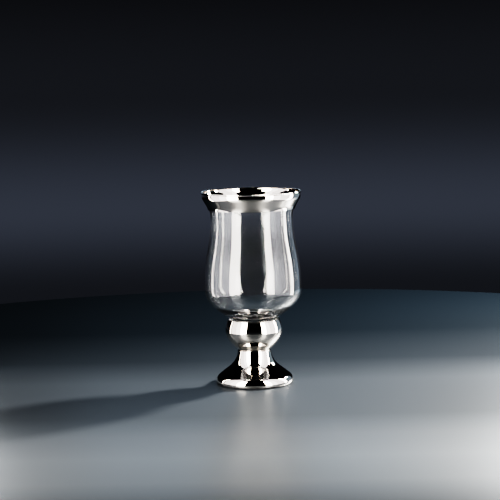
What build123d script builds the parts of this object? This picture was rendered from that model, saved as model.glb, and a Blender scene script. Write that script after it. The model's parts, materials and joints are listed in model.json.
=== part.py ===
from build123d import *

import math
import os

# Footed glass vase. Units are millimetres, +Z is up and the origin is the centre of the base.
# Every turned or spun piece is a closed outline in the (radius, height) plane, revolved about Z.

# Overall
TOTAL_HEIGHT = 365.0
RIM_RADIUS = 95.0

# Mouth collar
COLLAR_SHEET = 0.7
LIP_RADIUS = 1.1
LIP_LEAN = 55.0
LIP_FLICK_RADIUS = 1.6
HEM_TURN = 20.0
NECK_LEAN = 3.0
NECK_BOTTOM_Z = 357.5
COLLAR_UPPER_BEND_RADIUS = 16.0
COLLAR_LEAN = 30.5
COLLAR_SKIRT_BOTTOM_Z = 339.3
COLLAR_LOWER_BEND_RADIUS = 26.0
COLLAR_EDGE_LEAN = 12.0
LINER_BEND_RADIUS = 12.0
LINER_LEDGE_Z = 347.5
LINER_CORNER_RADIUS = 2.0
LINER_MOUTH_RADIUS = 80.2
BEDDING_BOTTOM_Z = 337.0
BEDDING_PLAY = 0.1

# Glass bowl
GLASS_TOP_Z = 346.0
GLASS_FLARE_RADIUS = 95.0
WAIST_RADIUS = 77.8
WAIST_Z = 313.0
WAIST_WALL = 3.0
SWELL_Z = 262.0
BELLY_RADIUS = 91.8
BELLY_Z = 180.3
BELLY_WALL = 5.4
SHOULDER_RADIUS = 41.0
SHOULDER_TURN = 44.5
UNDERSIDE_RADIUS = 150.0
UNDERSIDE_TURN = 16.5
INNER_SHOULDER_RADIUS = 40.0
INNER_SHOULDER_TURN = 75.0
STUB_FILLET = 2.5
STUB_BOTTOM_Z = 118.0
STUB_EDGE = 0.8

# Foot
FOOT_HEIGHT = 64.0
FOOT_SHEET = 1.2
FOOT_NECK_RADIUS = 31.2
FOOT_NECK_LEAN = 5.5
FOOT_TOP_EDGE = 1.6
FOOT_SWEEP_RADIUS = 43.8
FOOT_LEAN = 54.0
FOOT_RADIUS = 73.4
FOOT_WIDEST_Z = 4.7
FOOT_EDGE_RADIUS = 15.8
FOOT_CURL_RADIUS = 4.1
FOOT_CURL_TURN = 75.0

# Ball knop and the cup in its mouth
KNOP_SHEET = 1.2
KNOP_RADIUS = 53.9
KNOP_WIDEST_Z = 99.8
KNOP_UPPER_RADIUS = 52.0
KNOP_UPPER_TURN = 24.0
KNOP_LOWER_RADIUS = 24.6
KNOP_LOWER_TURN = 29.5
KNOP_FLANK_RADIUS = 77.0
KNOP_DECK_EDGE = 2.0
KNOP_MOUTH_EDGE = 1.0
KNOP_RING_HEIGHT = 7.0
KNOP_RING_SHEET = 0.8
CUP_SHEET = 1.2
CUP_RADIUS = 48.0
CUP_FLANGE_RADIUS = 49.1
CUP_FLANGE_EDGE = 0.5
CUP_FLOOR_Z = STUB_BOTTOM_Z - 1.2
BED_TOP_Z = 119.4

# Fastening stack on the axis
ROD_RADIUS = 4.0
THREAD_PLAY = 0.02
HOLE_PLAY = 0.3
DECK_HOLE_RADIUS = 8.0
ROD_BOTTOM_Z = 5.0
ROD_TOP_Z = 112.0
BOSS_RADIUS = 10.0
BOSS_BOTTOM_Z = 100.0
SPACER_RADIUS = 9.0
NUT_ACROSS_FLATS = 13.0
NUT_HEIGHT = 6.5
NUT_BOTTOM_Z = 6.5
LOCK_WASHER_RADIUS = 7.4
LOCK_WASHER_HEIGHT = 2.0
LOCK_WASHER_SLOT = 1.0
WASHER_RADIUS = 12.0
WASHER_HEIGHT = 1.6

# Ballast and base
WEIGHT_RADIUS = 63.0
WEIGHT_BOTTOM_Z = 5.0
WEIGHT_RIM_Z = 12.0
WEIGHT_COLUMN_RADIUS = 16.0
WEIGHT_SHOULDER_Z = 22.0
WEIGHT_POCKET_RADIUS = 14.0
PLATE_RADIUS = 69.9
PLATE_THICKNESS = 1.6
PLATE_EDGE = 0.3
FELT_RADIUS = 69.0
FELT_THICKNESS = 1.5

# Heights that follow from the values above
LOCK_WASHER_Z = NUT_BOTTOM_Z + NUT_HEIGHT
WASHER_Z = LOCK_WASHER_Z + LOCK_WASHER_HEIGHT
WASHER_TOP_Z = WASHER_Z + WASHER_HEIGHT
DECKS_BOTTOM_Z = FOOT_HEIGHT - FOOT_SHEET
DECKS_TOP_Z = FOOT_HEIGHT + KNOP_SHEET


def heading(lean, upward):
    """Unit direction in the (radius, height) plane that leans outward from the vertical by an angle."""
    angle = math.radians(lean)
    sign = 1.0 if upward else -1.0
    return (sign * math.sin(angle), sign * math.cos(angle))


def along(point, direction, distance):
    return (point[0] + distance * direction[0], point[1] + distance * direction[1])


def run_to_height(point, direction, height):
    """The point where a straight run from a point reaches a height."""
    return along(point, direction, (height - point[1]) / direction[1])


def point_on(edge, fraction):
    point = edge @ fraction
    return (point.X, point.Y)


def end_of(edge):
    return point_on(edge, 1)


def backwards(arc):
    """The same arc run from its end to its start, so that a path keeps one direction."""
    return ThreePointArc(arc @ 1, arc @ 0.5, arc @ 0)


def turned(outline):
    """Solid of revolution from a closed outline of edges or a face."""
    face = outline if isinstance(outline, Face) else make_face(outline)
    return revolve(Plane.XZ * face, Axis.Z)


def spun(path, thickness, side):
    """Sheet-metal shell: the path is one face of the sheet and the other lies on the given side."""
    return turned(make_face(offset(path, amount=thickness, side=side).edges()))


def ring(inner, outer, bottom, top):
    """Plain tube between two radii and two heights."""
    body = Cylinder(outer, top - bottom, align=(Align.CENTER, Align.CENTER, Align.MIN))
    bore = Cylinder(inner, top - bottom, align=(Align.CENTER, Align.CENTER, Align.MIN))
    return Pos(0, 0, bottom) * (body - bore)


def bell_side(waist_radius, belly_radius):
    """Side of the bell from waist to belly: a hollow arc and a full arc that meet in one tangent."""
    drop = WAIST_Z - BELLY_Z
    turn = 2.0 * math.atan((belly_radius - waist_radius) / drop)
    hollow_radius = (WAIST_Z - SWELL_Z) / math.sin(turn)
    full_radius = (SWELL_Z - BELLY_Z) / math.sin(turn)
    turn_degrees = math.degrees(turn)
    hollow = JernArc((waist_radius, WAIST_Z), (0, -1), hollow_radius, turn_degrees)
    full = JernArc(end_of(hollow), hollow % 1, full_radius, -turn_degrees)
    return [hollow, full]


def bell_flare(waist_radius, flare_radius):
    """Mouth of the bell above the waist, up to the glass edge."""
    turn = math.degrees(math.asin((GLASS_TOP_Z - WAIST_Z) / flare_radius))
    return JernArc((waist_radius, WAIST_Z), (0, 1), flare_radius, -turn)


def glass_bowl():
    outer_flare = bell_flare(WAIST_RADIUS, GLASS_FLARE_RADIUS)
    outer_side = bell_side(WAIST_RADIUS, BELLY_RADIUS)
    shoulder = JernArc(end_of(outer_side[1]), (0, -1), SHOULDER_RADIUS, -SHOULDER_TURN)
    underside = JernArc(end_of(shoulder), shoulder % 1, UNDERSIDE_RADIUS, -UNDERSIDE_TURN)
    underside_lean = SHOULDER_TURN + UNDERSIDE_TURN
    fillet_arc = JernArc(end_of(underside), underside % 1, STUB_FILLET, underside_lean)
    stub_top = end_of(fillet_arc)
    stub_low = (stub_top[0], STUB_BOTTOM_Z + STUB_EDGE)
    stub_toe = (stub_top[0] - STUB_EDGE, STUB_BOTTOM_Z)
    stub = Polyline(stub_top, stub_low, stub_toe, (0, STUB_BOTTOM_Z))

    inner_waist = WAIST_RADIUS - WAIST_WALL
    inner_flare = bell_flare(inner_waist, GLASS_FLARE_RADIUS + WAIST_WALL)
    inner_side = bell_side(inner_waist, BELLY_RADIUS - BELLY_WALL)
    inner_start = end_of(inner_side[1])
    inner_shoulder = JernArc(inner_start, (0, -1), INNER_SHOULDER_RADIUS, -INNER_SHOULDER_TURN)
    floor_start = end_of(inner_shoulder)
    floor_turn = 90.0 - INNER_SHOULDER_TURN
    floor_radius = floor_start[0] / math.sin(math.radians(floor_turn))
    floor = JernArc(floor_start, inner_shoulder % 1, floor_radius, -floor_turn)

    top = Line(end_of(inner_flare), end_of(outer_flare))
    axis = Line((0, STUB_BOTTOM_Z), end_of(floor))
    outside = [outer_flare, *outer_side, shoulder, underside, fillet_arc, *stub.edges()]
    inside = [inner_flare, *inner_side, inner_shoulder, floor]
    return turned([*outside, *inside, top, axis])


def lip_centre():
    return (RIM_RADIUS - LIP_RADIUS, TOTAL_HEIGHT - LIP_RADIUS)


def lip_offset_point(offset):
    """Point beside the lip centre, measured square to the sheet and positive outward."""
    down = heading(LIP_LEAN, upward=False)
    return along(lip_centre(), (-down[1], down[0]), offset)


def collar_outline():
    """Outer face of the collar, from its lower edge up the skirt and over the hemmed lip."""
    down = heading(LIP_LEAN, upward=False)
    lip_start = lip_offset_point(LIP_RADIUS)
    hem = JernArc(lip_start, heading(LIP_LEAN, upward=True), LIP_RADIUS, 180.0)
    hem_leg = JernArc(end_of(hem), down, LIP_FLICK_RADIUS + 2 * LIP_RADIUS, HEM_TURN)
    flick = JernArc(lip_start, down, LIP_FLICK_RADIUS, LIP_LEAN - NECK_LEAN)
    neck_down = heading(NECK_LEAN, upward=False)
    neck = Line(run_to_height(end_of(flick), neck_down, NECK_BOTTOM_Z), end_of(flick))
    bend = JernArc(point_on(neck, 0), neck_down, COLLAR_UPPER_BEND_RADIUS, NECK_LEAN - COLLAR_LEAN)
    skirt_down = heading(COLLAR_LEAN, upward=False)
    skirt = Line(run_to_height(end_of(bend), skirt_down, COLLAR_SKIRT_BOTTOM_Z), end_of(bend))
    edge_turn = COLLAR_LEAN - COLLAR_EDGE_LEAN
    edge = JernArc(point_on(skirt, 0), skirt_down, COLLAR_LOWER_BEND_RADIUS, edge_turn)
    return [backwards(edge), skirt, backwards(bend), neck, backwards(flick), hem, hem_leg]


def rim_collar():
    return spun(Wire(collar_outline()), COLLAR_SHEET, Side.LEFT)


def rim_liner():
    """Inner skin of the mouth: held in the hem at the top, turned in over the glass at the bottom."""
    down = heading(LIP_LEAN, upward=False)
    held_radius = LIP_FLICK_RADIUS + LIP_RADIUS - COLLAR_SHEET / 2
    held = JernArc(lip_offset_point(COLLAR_SHEET / 2), down, held_radius, LIP_LEAN - NECK_LEAN)
    bend = JernArc(end_of(held), held % 1, LINER_BEND_RADIUS, NECK_LEAN - COLLAR_LEAN)
    skirt_down = heading(COLLAR_LEAN, upward=False)
    corner_drop = LINER_CORNER_RADIUS * (1.0 - math.sin(math.radians(COLLAR_LEAN)))
    corner_z = LINER_LEDGE_Z + corner_drop
    skirt = Line(end_of(bend), run_to_height(end_of(bend), skirt_down, corner_z))
    corner = JernArc(end_of(skirt), skirt_down, LINER_CORNER_RADIUS, COLLAR_LEAN - 90.0)
    ledge = Line(end_of(corner), (LINER_MOUTH_RADIUS, LINER_LEDGE_Z))
    return spun(Wire([held, bend, skirt, corner, ledge]), COLLAR_SHEET, Side.RIGHT)


def rim_bedding(glass):
    """Cement ring behind the collar skirt, set round and over the edge of the glass."""
    collar_skirt = collar_outline()[1]
    skirt_down = heading(COLLAR_LEAN, upward=False)
    inset = COLLAR_SHEET / math.cos(math.radians(COLLAR_LEAN)) + BEDDING_PLAY
    wall_middle = bell_flare(WAIST_RADIUS - WAIST_WALL / 2, GLASS_FLARE_RADIUS + WAIST_WALL / 2)
    top = LINER_LEDGE_Z - BEDDING_PLAY

    def beside_collar(height):
        radius = run_to_height(point_on(collar_skirt, 0), skirt_down, height)[0]
        return (radius - inset, height)

    outline = Polyline(
        beside_collar(top),
        beside_collar(BEDDING_BOTTOM_Z),
        (beside_collar(BEDDING_BOTTOM_Z)[0] - WAIST_WALL / 2, BEDDING_BOTTOM_Z),
        end_of(wall_middle),
        (LINER_MOUTH_RADIUS + BEDDING_PLAY, GLASS_TOP_Z),
        (LINER_MOUTH_RADIUS + BEDDING_PLAY, top),
        close=True,
    )
    return turned(outline.edges()) - glass


def bowl_cup():
    """Drawn cup with a flange that rests on the mouth of the knop."""
    flange_bottom = knop_mouth_height()
    flange_top = flange_bottom + CUP_SHEET
    inner = CUP_RADIUS - CUP_SHEET
    outline = Polyline(
        (0, CUP_FLOOR_Z - CUP_SHEET),
        (CUP_RADIUS, CUP_FLOOR_Z - CUP_SHEET),
        (CUP_RADIUS, flange_bottom),
        (CUP_FLANGE_RADIUS, flange_bottom),
        (CUP_FLANGE_RADIUS, flange_top),
        (inner, flange_top),
        (inner, CUP_FLOOR_Z),
        (0, CUP_FLOOR_Z),
        close=True,
    )
    face = make_face(outline)
    lip = face.vertices().filter_by_position(Axis.Y, flange_top, flange_top)
    return turned(fillet(lip, CUP_FLANGE_EDGE))


def bowl_adhesive(glass):
    """Clear bed that fills the bottom of the cup under and round the glass stub."""
    inner = CUP_RADIUS - CUP_SHEET
    bed = Cylinder(inner, BED_TOP_Z - CUP_FLOOR_Z, align=(Align.CENTER, Align.CENTER, Align.MIN))
    return Pos(0, 0, CUP_FLOOR_Z) * bed - glass


def knop_upper_path():
    """Outer face of the upper half of the knop, from its widest line to its turned-in mouth."""
    ball = JernArc((KNOP_RADIUS, KNOP_WIDEST_Z), (0, 1), KNOP_UPPER_RADIUS, KNOP_UPPER_TURN)
    edge = JernArc(end_of(ball), ball % 1, KNOP_MOUTH_EDGE, 90.0 - KNOP_UPPER_TURN)
    flat = Line(end_of(edge), (CUP_RADIUS, end_of(edge)[1]))
    return Wire([ball, edge, flat])


def knop_mouth_height():
    return knop_upper_path().bounding_box().max.Y


def knop_upper_shell():
    return spun(knop_upper_path(), KNOP_SHEET, Side.LEFT)


def knop_lower_shell():
    """Lower half of the knop: a tight arc, a long flank and a flat deck that stands on the foot."""
    ball = JernArc((KNOP_RADIUS, KNOP_WIDEST_Z), (0, -1), KNOP_LOWER_RADIUS, -KNOP_LOWER_TURN)
    turn_sine = math.sin(math.radians(KNOP_LOWER_TURN))
    drop = end_of(ball)[1] - FOOT_HEIGHT - KNOP_DECK_EDGE + KNOP_FLANK_RADIUS * turn_sine
    lean = math.degrees(math.asin(drop / (KNOP_FLANK_RADIUS - KNOP_DECK_EDGE)))
    flank = JernArc(end_of(ball), ball % 1, KNOP_FLANK_RADIUS, KNOP_LOWER_TURN - lean)
    edge = JernArc(end_of(flank), flank % 1, KNOP_DECK_EDGE, lean - 90.0)
    deck = Line(end_of(edge), (DECK_HOLE_RADIUS, FOOT_HEIGHT))
    return spun(Wire([ball, flank, edge, deck]), KNOP_SHEET, Side.RIGHT)


def knop_ring():
    """Backing band inside the soldered joint of the two knop halves."""
    half = KNOP_RING_HEIGHT / 2
    lower_inner = KNOP_LOWER_RADIUS - KNOP_SHEET
    upper_inner = KNOP_UPPER_RADIUS - KNOP_SHEET
    lower_gap = lower_inner - math.sqrt(lower_inner**2 - half**2)
    upper_gap = upper_inner - math.sqrt(upper_inner**2 - half**2)
    outer = KNOP_RADIUS - KNOP_SHEET - max(lower_gap, upper_gap)
    return ring(outer - KNOP_RING_SHEET, outer, KNOP_WIDEST_Z - half, KNOP_WIDEST_Z + half)


def foot_shell():
    """Trumpet foot: flat top, hollow sweep, straight flank, rounded edge and turned-in hem."""
    deck_edge = (FOOT_NECK_RADIUS - FOOT_TOP_EDGE, FOOT_HEIGHT)
    deck = Line((DECK_HOLE_RADIUS, FOOT_HEIGHT), deck_edge)
    top_edge = JernArc(deck_edge, (1, 0), FOOT_TOP_EDGE, FOOT_NECK_LEAN - 90.0)
    sweep_turn = FOOT_LEAN - FOOT_NECK_LEAN
    sweep = JernArc(end_of(top_edge), top_edge % 1, FOOT_SWEEP_RADIUS, sweep_turn)
    edge = JernArc((FOOT_RADIUS, FOOT_WIDEST_Z), (0, 1), FOOT_EDGE_RADIUS, FOOT_LEAN)
    flank = Line(end_of(sweep), end_of(edge))
    curl = JernArc((FOOT_RADIUS, FOOT_WIDEST_Z), (0, -1), FOOT_CURL_RADIUS, -FOOT_CURL_TURN)
    path = Wire([deck, top_edge, sweep, flank, backwards(edge), curl])
    return spun(path, FOOT_SHEET, Side.RIGHT)


def foot_weight():
    """Cast ballast with a column that bears up against the foot's top deck."""
    bore = ROD_RADIUS + HOLE_PLAY
    outline = Polyline(
        (WEIGHT_POCKET_RADIUS, WEIGHT_BOTTOM_Z),
        (WEIGHT_RADIUS, WEIGHT_BOTTOM_Z),
        (WEIGHT_RADIUS, WEIGHT_RIM_Z),
        (WEIGHT_COLUMN_RADIUS, WEIGHT_SHOULDER_Z),
        (WEIGHT_COLUMN_RADIUS, DECKS_BOTTOM_Z),
        (bore, DECKS_BOTTOM_Z),
        (bore, WASHER_TOP_Z),
        (WEIGHT_POCKET_RADIUS, WASHER_TOP_Z),
        close=True,
    )
    return turned(outline.edges())


def hex_nut():
    hexagon = RegularPolygon(NUT_ACROSS_FLATS / 2, 6, major_radius=False)
    blank = extrude(hexagon, NUT_HEIGHT)
    corner = NUT_ACROSS_FLATS / math.sqrt(3.0)
    chamfer_height = (corner - NUT_ACROSS_FLATS / 2) * math.tan(math.radians(30.0))
    turned_blank = Cylinder(corner, NUT_HEIGHT, align=(Align.CENTER, Align.CENTER, Align.MIN))
    rims = turned_blank.edges().filter_by(GeomType.CIRCLE)
    turned_blank = chamfer(rims, chamfer_height, corner - NUT_ACROSS_FLATS / 2)
    thread = Cylinder(ROD_RADIUS + THREAD_PLAY, 3 * NUT_HEIGHT)
    return Pos(0, 0, NUT_BOTTOM_Z) * ((blank & turned_blank) - thread)


def lock_washer():
    band = ring(ROD_RADIUS + HOLE_PLAY, LOCK_WASHER_RADIUS, LOCK_WASHER_Z, WASHER_Z)
    slot = Box(LOCK_WASHER_RADIUS, LOCK_WASHER_SLOT, 3 * LOCK_WASHER_HEIGHT)
    return band - Pos(LOCK_WASHER_RADIUS, 0, LOCK_WASHER_Z) * slot


def disc(radius, thickness, bottom, edge):
    body = Cylinder(radius, thickness, align=(Align.CENTER, Align.CENTER, Align.MIN))
    body = chamfer(body.edges().filter_by(GeomType.CIRCLE), edge) if edge else body
    return Pos(0, 0, bottom) * body


def tie_rod():
    return disc(ROD_RADIUS, ROD_TOP_Z - ROD_BOTTOM_Z, ROD_BOTTOM_Z, ROD_RADIUS / 5)


def build_nodes():
    glass = glass_bowl()
    clear_hole = ROD_RADIUS + HOLE_PLAY
    threaded_hole = ROD_RADIUS + THREAD_PLAY
    return {
        "glass_bowl": glass,
        "rim_collar": rim_collar(),
        "rim_liner": rim_liner(),
        "rim_bedding": rim_bedding(glass),
        "bowl_cup": bowl_cup(),
        "bowl_adhesive": bowl_adhesive(glass),
        "cup_boss": ring(threaded_hole, BOSS_RADIUS, BOSS_BOTTOM_Z, CUP_FLOOR_Z - CUP_SHEET),
        "knop_upper_shell": knop_upper_shell(),
        "knop_lower_shell": knop_lower_shell(),
        "knop_ring": knop_ring(),
        "knop_spacer": ring(clear_hole, SPACER_RADIUS, DECKS_TOP_Z, BOSS_BOTTOM_Z),
        "centring_bush": ring(clear_hole, DECK_HOLE_RADIUS, DECKS_BOTTOM_Z, DECKS_TOP_Z),
        "foot_shell": foot_shell(),
        "foot_weight": foot_weight(),
        "base_plate": disc(PLATE_RADIUS, PLATE_THICKNESS, FELT_THICKNESS, PLATE_EDGE),
        "felt_pad": disc(FELT_RADIUS, FELT_THICKNESS, 0.0, 0.0),
        "tie_rod": tie_rod(),
        "clamp_washer": ring(clear_hole, WASHER_RADIUS, WASHER_Z, WASHER_TOP_Z),
        "lock_washer": lock_washer(),
        "clamp_nut": hex_nut(),
    }


os.makedirs("parts", exist_ok=True)
for node_name, node_shape in build_nodes().items():
    export_step(node_shape, f"parts/{node_name}.step")
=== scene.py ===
import math

import bpy
from mathutils import Euler, Matrix, Vector
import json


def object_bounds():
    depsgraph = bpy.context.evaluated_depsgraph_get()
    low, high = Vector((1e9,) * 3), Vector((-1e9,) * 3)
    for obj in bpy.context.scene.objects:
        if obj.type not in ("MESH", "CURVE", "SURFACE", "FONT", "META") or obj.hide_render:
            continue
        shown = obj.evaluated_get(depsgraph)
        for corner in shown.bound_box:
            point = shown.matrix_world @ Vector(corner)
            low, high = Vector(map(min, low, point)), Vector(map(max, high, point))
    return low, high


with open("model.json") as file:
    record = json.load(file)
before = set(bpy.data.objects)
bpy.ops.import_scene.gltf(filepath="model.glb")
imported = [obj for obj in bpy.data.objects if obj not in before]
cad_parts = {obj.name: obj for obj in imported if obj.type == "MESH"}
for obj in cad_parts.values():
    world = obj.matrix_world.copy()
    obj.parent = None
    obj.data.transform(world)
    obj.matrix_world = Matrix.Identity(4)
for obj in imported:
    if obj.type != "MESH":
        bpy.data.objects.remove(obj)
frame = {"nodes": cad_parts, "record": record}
nodes = frame["nodes"]
cad_low, cad_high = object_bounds()
height = cad_high.z - cad_low.z

# ---------------------------------------------------------------- camera, in metres, degrees and millimetres
CAMERA_DISTANCE = 3.102
CAMERA_HEIGHT = 0.603
CAMERA_SIDE = -0.0043
CAMERA_PITCH = 6.43
CAMERA_ROLL = -1.2
CAMERA_LENS = 119.1
SENSOR_WIDTH = 36.0
CAMERA_REACH = 200.0

# ---------------------------------------------------------------- studio, in metres
BED_CLEARANCE = 0.00005
FLOOR_GAP = 0.0001
WARM_WHITE = (1.0, 0.93, 0.87)
COOL_WHITE = (0.96, 0.94, 0.98)
BLUE_WHITE = (0.66, 0.83, 1.0)

# Upright lights on both sides. Glow is the radiance of the lit face.
PANEL_SIDE = 0.55
PANEL_BOTTOM = 0.012
PANEL_TOP = 1.35
EDGE_TOP = 0.55
FAR_TOP = 0.42
OUTER_GLOW = 2.5
FAR_GLOW = 0.32
DIM_GLOW = 1.9
MID_GLOW = 2.8
HOT_GLOW = 24.0
REAR_EDGE_GLOW = 12.0
LEFT, RIGHT = -1, 1
# name, side, start and stop along Y, top, glow, colour
INWARD_PANELS = (
    ("left_front", LEFT, -0.94, -0.40, PANEL_TOP, HOT_GLOW, WARM_WHITE),
    ("left_middle", LEFT, -0.40, -0.16, PANEL_TOP, MID_GLOW, COOL_WHITE),
    ("left_back", LEFT, -0.16, 0.09, PANEL_TOP, DIM_GLOW, COOL_WHITE),
    ("left_rear", LEFT, 0.14, 0.18, EDGE_TOP, REAR_EDGE_GLOW, WARM_WHITE),
    ("right_front", RIGHT, -0.87, -0.48, PANEL_TOP, HOT_GLOW, WARM_WHITE),
    ("right_middle", RIGHT, -0.48, -0.24, PANEL_TOP, MID_GLOW, COOL_WHITE),
    ("right_back", RIGHT, -0.24, 0.05, PANEL_TOP, DIM_GLOW, COOL_WHITE),
    ("right_rear", RIGHT, 0.05, 0.14, EDGE_TOP, HOT_GLOW, WARM_WHITE),
    ("right_far", RIGHT, 0.16, 0.70, FAR_TOP, FAR_GLOW, BLUE_WHITE),
)
OUTWARD_PANELS = (
    ("left_outer", LEFT, -0.94, 0.18, PANEL_TOP, OUTER_GLOW, COOL_WHITE),
    ("right_outer", RIGHT, -0.87, 0.14, PANEL_TOP, OUTER_GLOW, COOL_WHITE),
)

# Wide soft light high behind the object
REAR_GLOW = 1.2
REAR_DISTANCE = 2.4
REAR_WIDTH = 1.2
REAR_BOTTOM = 0.62
REAR_TOP = 1.5

# Small round lamp, azimuth turned from the camera's side toward +X, in degrees
LAMP_AZIMUTH = 128.0
LAMP_ELEVATION = 24.0
LAMP_DISTANCE = 1.8
LAMP_GLOW = 4000.0
LAMP_SIZE = 0.22

# Backdrop. A direction's height, from -BACKDROP_REACH to BACKDROP_REACH, runs along the stops.
BACKDROP_DARK = (0.004, 0.004, 0.005)
BACKDROP_LOW = (0.020, 0.022, 0.027)
BACKDROP_GLOW = (0.050, 0.056, 0.070)
BACKDROP_HIGH = (0.022, 0.024, 0.029)
BACKDROP_REACH = 0.2
BACKDROP_STOPS = ((0.16, BACKDROP_LOW), (0.285, BACKDROP_GLOW), (0.46, BACKDROP_HIGH))
BACKDROP_FIRST, BACKDROP_LAST = 0.10, 0.75
BACKDROP_EDGE = 0.35
BACKDROP_MIDDLE = 0.9
BACKDROP_SIDE_STRENGTH = 0.35

# Table top, with its matt colour and its sheen changing along Y as painted light falloff
TABLE_RADIUS = 1.3
TABLE_STEPS = 128
# Matt colour: a painted pool of light, brightest around the object, darker in front and darkest at the back
FLOOR_FRONT = (0.003, 0.004, 0.005)
FLOOR_MIDDLE = (0.007, 0.009, 0.011)
FLOOR_BACK = (0.001, 0.002, 0.003)
FLOOR_REACH = 0.6
FLOOR_TINT = (0.88, 0.95, 1.0)
# Sheen strength: painted falloff, strongest in front of the object and fading toward the back
FLOOR_SHEEN = (
    (-0.95, 0.04),
    (-0.75, 0.15),
    (-0.60, 0.18),
    (-0.45, 0.15),
    (-0.30, 0.09),
    (0.02, 0.07),
    (0.24, 0.02),
    (1.1, 0.015),
)
FLOOR_ROUGHNESS = 0.36


# ---------------------------------------------------------------- node helpers
class Tree:
    """Short names for building one material's node tree."""

    def __init__(self, name):
        self.material = bpy.data.materials.new(name)
        self.material.use_nodes = True
        self.tree = self.material.node_tree
        self.tree.nodes.clear()
        self.output = self.add("ShaderNodeOutputMaterial")
        self.shader = self.add("ShaderNodeBsdfPrincipled")
        self.link(self.shader.outputs["BSDF"], self.output.inputs["Surface"])
        self.place = self.add("ShaderNodeTexCoord").outputs["Object"]

    def add(self, kind, **settings):
        node = self.tree.nodes.new(kind)
        for key, value in settings.items():
            setattr(node, key, value)
        return node

    def link(self, source, target):
        self.tree.links.new(source, target)

    def set(self, **values):
        for key, value in values.items():
            self.shader.inputs[key.replace("_", " ")].default_value = value

    def feed(self, name, source):
        self.link(source, self.shader.inputs[name])

    def stretched(self, scale):
        mapping = self.add("ShaderNodeMapping")
        mapping.inputs["Scale"].default_value = scale
        self.link(self.place, mapping.inputs["Vector"])
        return mapping.outputs["Vector"]

    def noise(self, scale, detail=3.0, roughness=0.5, vector=None, distortion=0.0):
        node = self.add("ShaderNodeTexNoise")
        node.inputs["Scale"].default_value = scale
        node.inputs["Detail"].default_value = detail
        node.inputs["Roughness"].default_value = roughness
        node.inputs["Distortion"].default_value = distortion
        self.link(vector or self.place, node.inputs["Vector"])
        return node.outputs["Fac"]

    def turned_noise(self, across, around):
        """Noise that runs in rings about the vertical axis, as tool marks do on spun metal."""
        parts = self.add("ShaderNodeSeparateXYZ")
        self.link(self.place, parts.inputs[0])
        flat = self.add("ShaderNodeCombineXYZ")
        self.link(parts.outputs["X"], flat.inputs["X"])
        self.link(parts.outputs["Y"], flat.inputs["Y"])
        radius = self.add("ShaderNodeVectorMath", operation="LENGTH")
        self.link(flat.outputs[0], radius.inputs[0])
        unit = self.add("ShaderNodeVectorMath", operation="NORMALIZE")
        self.link(flat.outputs[0], unit.inputs[0])
        spread = self.add("ShaderNodeVectorMath", operation="SCALE")
        spread.inputs["Scale"].default_value = around
        self.link(unit.outputs[0], spread.inputs[0])
        lift = self.add("ShaderNodeMath", operation="MULTIPLY")
        lift.inputs[1].default_value = across
        self.link(parts.outputs["Z"], lift.inputs[0])
        rise = self.add("ShaderNodeCombineXYZ")
        self.link(lift.outputs[0], rise.inputs["Z"])
        total = self.add("ShaderNodeVectorMath", operation="ADD")
        self.link(spread.outputs[0], total.inputs[0])
        self.link(rise.outputs[0], total.inputs[1])
        reach = self.add("ShaderNodeMath", operation="MULTIPLY")
        reach.inputs[1].default_value = across
        self.link(radius.outputs["Value"], reach.inputs[0])
        node = self.add("ShaderNodeTexNoise", noise_dimensions="4D")
        node.inputs["Scale"].default_value = 1.0
        node.inputs["Detail"].default_value = 2.0
        self.link(total.outputs[0], node.inputs["Vector"])
        self.link(reach.outputs[0], node.inputs["W"])
        return node.outputs["Fac"]

    def spread(self, source, low, high, start=0.0, stop=1.0):
        """Map a value from start..stop to low..high."""
        node = self.add("ShaderNodeMapRange")
        for key, value in (("From Min", start), ("From Max", stop), ("To Min", low), ("To Max", high)):
            node.inputs[key].default_value = value
        self.link(source, node.inputs["Value"])
        return node.outputs["Result"]

    def tint(self, source, dark, light):
        """Blend two colours over the middle of a noise value's range."""
        ramp = self.add("ShaderNodeValToRGB")
        ramp.color_ramp.elements[0].position = 0.3
        ramp.color_ramp.elements[0].color = (*dark, 1.0)
        ramp.color_ramp.elements[1].position = 0.7
        ramp.color_ramp.elements[1].color = (*light, 1.0)
        self.link(source, ramp.inputs["Fac"])
        return ramp.outputs["Color"]

    def bump(self, source, strength, distance, under=None):
        node = self.add("ShaderNodeBump")
        node.inputs["Strength"].default_value = strength
        node.inputs["Distance"].default_value = distance
        self.link(source, node.inputs["Height"])
        if under:
            self.link(under, node.inputs["Normal"])
        return node.outputs["Normal"]


# ---------------------------------------------------------------- materials
def polished_nickel():
    """Mirror plating with faint turning rings and a slow swell."""
    t = Tree("polished_nickel")
    t.set(Metallic=1.0)
    cloud = t.noise(9.0, detail=4.0)
    t.feed("Base Color", t.tint(cloud, (0.66, 0.61, 0.555), (0.72, 0.67, 0.62)))
    smear = t.noise(38.0, detail=6.0, roughness=0.65)
    t.feed("Roughness", t.spread(smear, 0.012, 0.05, 0.45, 0.8))
    rings = t.turned_noise(across=900.0, around=3.0)
    swell = t.noise(14.0, detail=1.0)
    spun = t.bump(rings, 0.02, 0.0004)
    t.feed("Normal", t.bump(swell, 0.05, 0.002, under=spun))
    return t.material


def clear_glass():
    """Clear blown glass with a slight upright wave and faint smears."""
    t = Tree("clear_glass")
    t.set(Base_Color=(0.985, 0.995, 0.99, 1.0), IOR=1.5, Transmission_Weight=0.998)
    smear = t.noise(30.0, detail=5.0, roughness=0.6)
    t.feed("Roughness", t.spread(smear, 0.0, 0.012, 0.5, 0.85))
    wave = t.noise(1.0, detail=2.0, vector=t.stretched((34.0, 34.0, 7.0)))
    t.feed("Normal", t.bump(wave, 0.10, 0.002))
    return t.material


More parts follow.
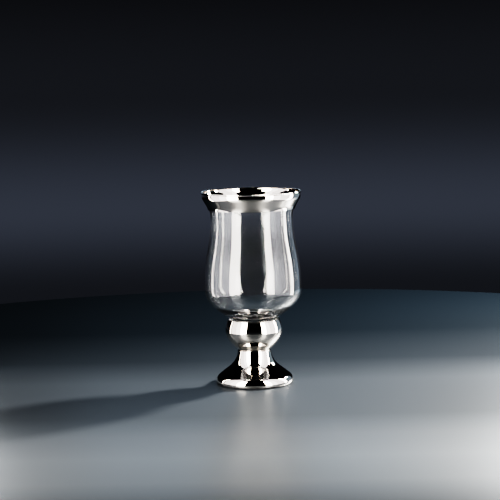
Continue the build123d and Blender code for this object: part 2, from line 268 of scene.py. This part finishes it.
def plain_metal(name, dark, light, roughness, grain, metallic=1.0, depth=0.1):
    """Unpolished metal with one fine grain for colour, roughness and surface."""
    t = Tree(name)
    t.set(Metallic=metallic)
    fine = t.noise(grain, detail=5.0, roughness=0.6)
    t.feed("Base Color", t.tint(fine, dark, light))
    t.feed("Roughness", t.spread(fine, roughness - 0.08, roughness + 0.12, 0.3, 0.7))
    t.feed("Normal", t.bump(fine, depth, 0.0006))
    return t.material


def brass():
    return plain_metal("brass", (0.55, 0.36, 0.13), (0.78, 0.58, 0.27), roughness=0.28, grain=240.0)


def zinc_steel():
    return plain_metal("zinc_steel", (0.48, 0.50, 0.53), (0.68, 0.69, 0.70), roughness=0.32, grain=300.0)


def cast_iron():
    dark, light = (0.02, 0.02, 0.022), (0.06, 0.06, 0.065)
    return plain_metal("cast_iron", dark, light, roughness=0.62, grain=180.0, metallic=0.3, depth=0.5)


def brushed_base():
    """Turned base plate with fine rings."""
    t = Tree("brushed_base")
    t.set(Metallic=1.0)
    rings = t.turned_noise(across=2600.0, around=6.0)
    t.feed("Base Color", t.tint(rings, (0.60, 0.59, 0.57), (0.74, 0.73, 0.71)))
    t.feed("Roughness", t.spread(rings, 0.25, 0.45))
    t.feed("Normal", t.bump(rings, 0.15, 0.0003))
    return t.material


def cement():
    t = Tree("cement")
    coarse = t.noise(420.0, detail=6.0, roughness=0.7)
    t.feed("Base Color", t.tint(coarse, (0.55, 0.53, 0.49), (0.74, 0.72, 0.68)))
    t.feed("Roughness", t.spread(coarse, 0.8, 0.95))
    t.feed("Normal", t.bump(coarse, 0.5, 0.0006))
    return t.material


def clear_silicone():
    t = Tree("clear_silicone")
    t.set(Transmission_Weight=0.7, IOR=1.41)
    cloud = t.noise(160.0, detail=3.0)
    t.feed("Base Color", t.tint(cloud, (0.70, 0.72, 0.73), (0.82, 0.84, 0.85)))
    t.feed("Roughness", t.spread(cloud, 0.2, 0.4))
    t.feed("Normal", t.bump(cloud, 0.2, 0.0005))
    return t.material


def felt():
    t = Tree("felt")
    t.set(Sheen_Weight=0.6, Sheen_Roughness=0.5)
    fibre = t.noise(1900.0, detail=6.0, roughness=0.75, distortion=1.2)
    t.feed("Base Color", t.tint(fibre, (0.012, 0.012, 0.014), (0.05, 0.05, 0.056)))
    t.feed("Roughness", t.spread(fibre, 0.85, 1.0))
    t.feed("Normal", t.bump(fibre, 0.8, 0.0008))
    return t.material


MAKERS = {
    "clear_glass": clear_glass,
    "polished_nickel": polished_nickel,
    "cement": cement,
    "clear_silicone": clear_silicone,
    "brass": brass,
    "zinc_steel": zinc_steel,
    "cast_iron": cast_iron,
    "brushed_base": brushed_base,
    "felt": felt,
}
made = {slot: maker() for slot, maker in MAKERS.items()}
for part in frame["record"]["subparts"]:
    piece = nodes[part["node"]]
    piece.data.materials.clear()
    piece.data.materials.append(made[part["material_slot"]])

# The two beds are drawn a hair inside their surface, clear of the glass that they touch.
for name in ("rim_bedding", "bowl_adhesive"):
    skin = nodes[name].modifiers.new("clear_of_glass", "DISPLACE")
    skin.mid_level = 0.0
    skin.strength = -BED_CLEARANCE


# ---------------------------------------------------------------- stage
def floor_material():
    """Satin table top with a broad soft gloss, strongest in front of the object, and a matt colour brightest
    around it: both changes along Y are painted light falloff.
    """
    t = Tree("floor")
    t.tree.nodes.remove(t.shader)
    matte = t.add("ShaderNodeBsdfDiffuse")
    gloss = t.add("ShaderNodeBsdfAnisotropic")
    both = t.add("ShaderNodeAddShader")
    t.link(matte.outputs[0], both.inputs[0])
    t.link(gloss.outputs[0], both.inputs[1])
    t.link(both.outputs[0], t.output.inputs["Surface"])
    parts = t.add("ShaderNodeSeparateXYZ")
    t.link(t.place, parts.inputs[0])
    # Painted light falloff in the matt colour: brightest around the object, darker in front and at the back
    shade = t.add("ShaderNodeValToRGB")
    stops = shade.color_ramp.elements
    stops[0].position, stops[0].color = 0.0, (*FLOOR_FRONT, 1.0)
    stops[1].position, stops[1].color = 1.0, (*FLOOR_BACK, 1.0)
    middle = stops.new(0.5)
    middle.color = (*FLOOR_MIDDLE, 1.0)
    along_table = t.spread(parts.outputs["Y"], 0.0, 1.0, -FLOOR_REACH, FLOOR_REACH)
    t.link(along_table, shade.inputs["Fac"])
    t.link(shade.outputs["Color"], matte.inputs["Color"])
    # Painted falloff in the gloss strength: strongest in front, fading toward the back
    sheen = t.add("ShaderNodeValToRGB")
    near, far = FLOOR_SHEEN[0][0], FLOOR_SHEEN[-1][0]
    points = sheen.color_ramp.elements
    while len(points) < len(FLOOR_SHEEN):
        points.new(0.5)
    for point, (along, strength) in zip(points, FLOOR_SHEEN):
        point.position = (along - near) / (far - near)
        point.color = (*(strength * part for part in FLOOR_TINT), 1.0)
    t.link(t.spread(parts.outputs["Y"], 0.0, 1.0, near, far), sheen.inputs["Fac"])
    t.link(sheen.outputs["Color"], gloss.inputs["Color"])
    gloss.inputs["Roughness"].default_value = FLOOR_ROUGHNESS
    return t.material


def add_floor():
    """Round table top just below the object."""
    mesh = bpy.data.meshes.new("floor")
    turns = [2 * math.pi * step / TABLE_STEPS for step in range(TABLE_STEPS)]
    rim = [(TABLE_RADIUS * math.cos(turn), TABLE_RADIUS * math.sin(turn), 0.0) for turn in turns]
    mesh.from_pydata(rim, [], [tuple(range(TABLE_STEPS))])
    floor = bpy.data.objects.new("floor", mesh)
    bpy.context.scene.collection.objects.link(floor)
    floor.location.z = cad_low.z - FLOOR_GAP
    mesh.materials.append(floor_material())


def add_light(name, shape, size, area, glow, colour, place, toward):
    """Soft light at a place, facing along toward and hidden from the camera."""
    light = bpy.data.lights.new(name, "AREA")
    light.shape = shape
    light.size, light.size_y = size
    light.energy = glow * math.pi * area
    light.color = colour
    lamp = bpy.data.objects.new(name, light)
    lamp.location = place
    lamp.rotation_euler = toward.to_track_quat("-Z", "Y").to_euler()
    lamp.visible_camera = False
    bpy.context.scene.collection.objects.link(lamp)
    return lamp


def add_panel(name, side, start, stop, top, glow, colour, facing):
    """Tall upright light beside the object; facing is 1 for inward and -1 for outward."""
    size = (stop - start, top - PANEL_BOTTOM)
    place = (side * PANEL_SIDE, (start + stop) / 2, (PANEL_BOTTOM + top) / 2)
    toward = Vector((-side * facing, 0, 0))
    add_light(name, "RECTANGLE", size, size[0] * size[1], glow, colour, place, toward)


def add_rear_light():
    """Wide light high behind the object; rays that have passed through glass don't see it."""
    size = (REAR_WIDTH, REAR_TOP - REAR_BOTTOM)
    place = (0, REAR_DISTANCE, (REAR_BOTTOM + REAR_TOP) / 2)
    toward = Vector((0, -1, 0))
    rear = add_light("rear", "RECTANGLE", size, size[0] * size[1], REAR_GLOW, BLUE_WHITE, place, toward)
    rear.visible_transmission = False


def add_lamp():
    """Small lamp that gives the sharp highlights and the long shadow."""
    turn = math.radians(LAMP_AZIMUTH)
    rise = math.radians(LAMP_ELEVATION)
    away = Vector((math.sin(turn) * math.cos(rise), -math.cos(turn) * math.cos(rise), math.sin(rise)))
    place = Vector((0, 0, height / 2)) + away * LAMP_DISTANCE
    area = math.pi * LAMP_SIZE * LAMP_SIZE / 4
    add_light("lamp", "DISK", (LAMP_SIZE, LAMP_SIZE), area, LAMP_GLOW, WARM_WHITE, place, -away)


def add_world():
    """Dark studio with a faint slate glow low on the backdrop, strongest behind the object."""
    world = bpy.data.worlds.new("studio")
    world.use_nodes = True
    bpy.context.scene.world = world
    tree = world.node_tree
    tree.nodes.clear()
    out = tree.nodes.new("ShaderNodeOutputWorld")
    back = tree.nodes.new("ShaderNodeBackground")
    place = tree.nodes.new("ShaderNodeTexCoord")
    parts = tree.nodes.new("ShaderNodeSeparateXYZ")
    span = tree.nodes.new("ShaderNodeMapRange")
    ramp = tree.nodes.new("ShaderNodeValToRGB")
    span.inputs["From Min"].default_value = -BACKDROP_REACH
    span.inputs["From Max"].default_value = BACKDROP_REACH
    tree.links.new(place.outputs["Generated"], parts.inputs[0])
    tree.links.new(parts.outputs["Z"], span.inputs["Value"])
    tree.links.new(span.outputs["Result"], ramp.inputs["Fac"])
    tree.links.new(ramp.outputs["Color"], back.inputs["Color"])
    sector = tree.nodes.new("ShaderNodeMapRange")
    sector.interpolation_type = "SMOOTHSTEP"
    sector.inputs["From Min"].default_value = BACKDROP_EDGE
    sector.inputs["From Max"].default_value = BACKDROP_MIDDLE
    sector.inputs["To Min"].default_value = BACKDROP_SIDE_STRENGTH
    tree.links.new(parts.outputs["Y"], sector.inputs["Value"])
    tree.links.new(sector.outputs["Result"], back.inputs["Strength"])
    tree.links.new(back.outputs[0], out.inputs["Surface"])
    ramp.color_ramp.interpolation = "EASE"
    stops = ramp.color_ramp.elements
    stops[0].position, stops[0].color = BACKDROP_FIRST, (*BACKDROP_DARK, 1.0)
    stops[1].position, stops[1].color = BACKDROP_LAST, (*BACKDROP_DARK, 1.0)
    for position, colour in BACKDROP_STOPS:
        stops.new(position).color = (*colour, 1.0)


def add_camera():
    """Long lens a little above the object, tilted down and slightly rolled."""
    camera_data = bpy.data.cameras.new("camera")
    camera_data.lens = CAMERA_LENS
    camera_data.sensor_width = SENSOR_WIDTH
    camera_data.clip_end = CAMERA_REACH
    camera = bpy.data.objects.new("camera", camera_data)
    camera.location = (CAMERA_SIDE, -CAMERA_DISTANCE, CAMERA_HEIGHT)
    tilt = Euler((math.radians(90.0 - CAMERA_PITCH), 0.0, 0.0)).to_matrix()
    roll = Matrix.Rotation(math.radians(CAMERA_ROLL), 3, "Z")
    camera.rotation_euler = (tilt @ roll).to_euler()
    bpy.context.scene.collection.objects.link(camera)
    bpy.context.scene.camera = camera


add_floor()
for panel in INWARD_PANELS:
    add_panel(*panel, facing=1)
for panel in OUTWARD_PANELS:
    add_panel(*panel, facing=-1)
add_rear_light()
add_lamp()
add_world()
add_camera()

scene = bpy.context.scene
scene.view_settings.view_transform = "Filmic"
scene.view_settings.look = "Very High Contrast"
